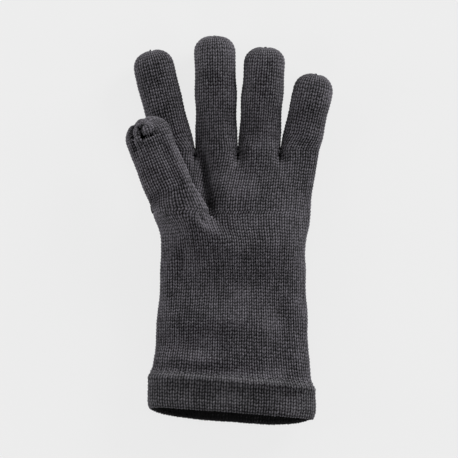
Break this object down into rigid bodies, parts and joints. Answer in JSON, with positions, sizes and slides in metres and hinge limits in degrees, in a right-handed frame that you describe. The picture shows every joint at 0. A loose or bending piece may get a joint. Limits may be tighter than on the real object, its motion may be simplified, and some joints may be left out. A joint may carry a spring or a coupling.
{
  "type": "knitted glove",
  "caption": "Left-hand stockinette knit glove with a long straight gauntlet and a turned double hem, lying on its back with the thumb over the palm.",
  "frame": {"origin": "on the flat back of the hand, at the surface the glove lies on, under the middle of the palm", "axes": "+X towards the little finger, +Y towards the fingertips, +Z out of the palm"},
  "size_m": [0.1407, 0.2647, 0.0377],
  "materials": {
    "knit": "charcoal stockinette knit, matt",
    "hem_knit": "charcoal stockinette knit, matt, double layer",
    "yarn": "charcoal spun yarn, matt"
  },
  "bodies": {
    "hand": {"hand_tube": "knit", "wrist_flex": "knit", "crotch_stitches": "yarn", "thumb_gusset": "knit", "thumb_root_flex": "knit", "index_root_flex": "knit", "middle_root_flex": "knit", "ring_root_flex": "knit", "little_root_flex": "knit"},
    "cuff": {"gauntlet_tube": "knit", "hem_band": "hem_knit", "hem_facing": "hem_knit", "hem_linking": "yarn"},
    "thumb_heel": {"thumb_heel": "knit", "thumb_swing_flex": "knit"},
    "thumb_base": {"thumb_base": "knit", "thumb_knuckle_flex": "knit"},
    "thumb_tip": {"thumb_tip": "knit", "thumb_tip_closure": "yarn"},
    "index_base": {"index_base": "knit", "index_knuckle_flex": "knit"},
    "index_middle": {"index_middle": "knit", "index_end_flex": "knit"},
    "index_tip": {"index_tip": "knit", "index_tip_closure": "yarn"},
    "middle_base": {"middle_base": "knit", "middle_knuckle_flex": "knit"},
    "middle_middle": {"middle_middle": "knit", "middle_end_flex": "knit"},
    "middle_tip": {"middle_tip": "knit", "middle_tip_closure": "yarn"},
    "ring_base": {"ring_base": "knit", "ring_knuckle_flex": "knit"},
    "ring_middle": {"ring_middle": "knit", "ring_end_flex": "knit"},
    "ring_tip": {"ring_tip": "knit", "ring_tip_closure": "yarn"},
    "little_base": {"little_base": "knit", "little_knuckle_flex": "knit"},
    "little_middle": {"little_middle": "knit", "little_end_flex": "knit"},
    "little_tip": {"little_tip": "knit", "little_tip_closure": "yarn"}
  },
  "joints": [
    {"name": "wrist", "type": "hinge", "parent": "hand", "child": "cuff", "pos_m": [0.003, -0.042, 0.0115], "axis": [1, 0, 0], "range_deg": [-45, 45], "deforming": ["wrist_flex"]},
    {"name": "index_root", "type": "hinge", "parent": "hand", "child": "index_base", "pos_m": [-0.03956, 0.06324, 0.0105], "axis": [0.9744, 0.225, 0], "range_deg": [-15, 65], "deforming": ["index_root_flex"]},
    {"name": "index_knuckle", "type": "hinge", "parent": "index_base", "child": "index_middle", "pos_m": [-0.04406, 0.08274, 0.0105], "axis": [0.9744, 0.225, 0], "range_deg": [0, 85], "deforming": ["index_knuckle_flex"]},
    {"name": "index_end", "type": "hinge", "parent": "index_middle", "child": "index_tip", "pos_m": [-0.04808, 0.10016, 0.0105], "axis": [0.9744, 0.225, 0], "range_deg": [0, 55], "deforming": ["index_end_flex"]},
    {"name": "middle_root", "type": "hinge", "parent": "hand", "child": "middle_base", "pos_m": [-0.00809, 0.06481, 0.0105], "axis": [0.9997, 0.0262, 0], "range_deg": [-15, 65], "deforming": ["middle_root_flex"]},
    {"name": "middle_knuckle", "type": "hinge", "parent": "middle_base", "child": "middle_middle", "pos_m": [-0.00866, 0.08665, 0.0105], "axis": [0.9997, 0.0262, 0], "range_deg": [0, 85], "deforming": ["middle_knuckle_flex"]},
    {"name": "middle_end", "type": "hinge", "parent": "middle_middle", "child": "middle_tip", "pos_m": [-0.00917, 0.10614, 0.0105], "axis": [0.9997, 0.0262, 0], "range_deg": [0, 55], "deforming": ["middle_end_flex"]},
    {"name": "ring_root", "type": "hinge", "parent": "hand", "child": "ring_base", "pos_m": [0.02195, 0.06347, 0.0105], "axis": [0.9984, -0.0558, 0], "range_deg": [-15, 65], "deforming": ["ring_root_flex"]},
    {"name": "ring_knuckle", "type": "hinge", "parent": "ring_base", "child": "ring_middle", "pos_m": [0.02306, 0.08332, 0.0105], "axis": [0.9984, -0.0558, 0], "range_deg": [0, 85], "deforming": ["ring_knuckle_flex"]},
    {"name": "ring_end", "type": "hinge", "parent": "ring_middle", "child": "ring_tip", "pos_m": [0.02405, 0.10104, 0.0105], "axis": [0.9984, -0.0558, 0], "range_deg": [0, 55], "deforming": ["ring_end_flex"]},
    {"name": "little_root", "type": "hinge", "parent": "hand", "child": "little_base", "pos_m": [0.05129, 0.05999, 0.0105], "axis": [0.9826, -0.1857, 0], "range_deg": [-15, 65], "deforming": ["little_root_flex"]},
    {"name": "little_knuckle", "type": "hinge", "parent": "little_base", "child": "little_middle", "pos_m": [0.05407, 0.07471, 0.0105], "axis": [0.9826, -0.1857, 0], "range_deg": [0, 85], "deforming": ["little_knuckle_flex"]},
    {"name": "little_end", "type": "hinge", "parent": "little_middle", "child": "little_tip", "pos_m": [0.05655, 0.08785, 0.0105], "axis": [0.9826, -0.1857, 0], "range_deg": [0, 55], "deforming": ["little_end_flex"]},
    {"name": "thumb_push", "type": "hinge", "parent": "hand", "child": "thumb_heel", "pos_m": [-0.03867, 0.0183, 0.0292], "axis": [0, 0, 1], "range_deg": [-6, 26], "deforming": ["thumb_root_flex"]},
    {"name": "thumb_swing", "type": "hinge", "parent": "thumb_heel", "child": "thumb_base", "pos_m": [-0.04406, 0.03068, 0.0292], "axis": [0, 0, 1], "range_deg": [-15, 40], "deforming": ["thumb_swing_flex"]},
    {"name": "thumb_knuckle", "type": "hinge", "parent": "thumb_base", "child": "thumb_tip", "pos_m": [-0.05074, 0.04604, 0.0292], "axis": [0, 0, -1], "range_deg": [0, 50], "deforming": ["thumb_knuckle_flex"]}
  ],
  "couplings": [
    {"joint": "index_end", "follows": "index_knuckle", "ratio": 0.64},
    {"joint": "middle_end", "follows": "middle_knuckle", "ratio": 0.64},
    {"joint": "ring_end", "follows": "ring_knuckle", "ratio": 0.64},
    {"joint": "little_end", "follows": "little_knuckle", "ratio": 0.64},
    {"joint": "thumb_push", "follows": "index_root", "ratio": 0.4}
  ]
}
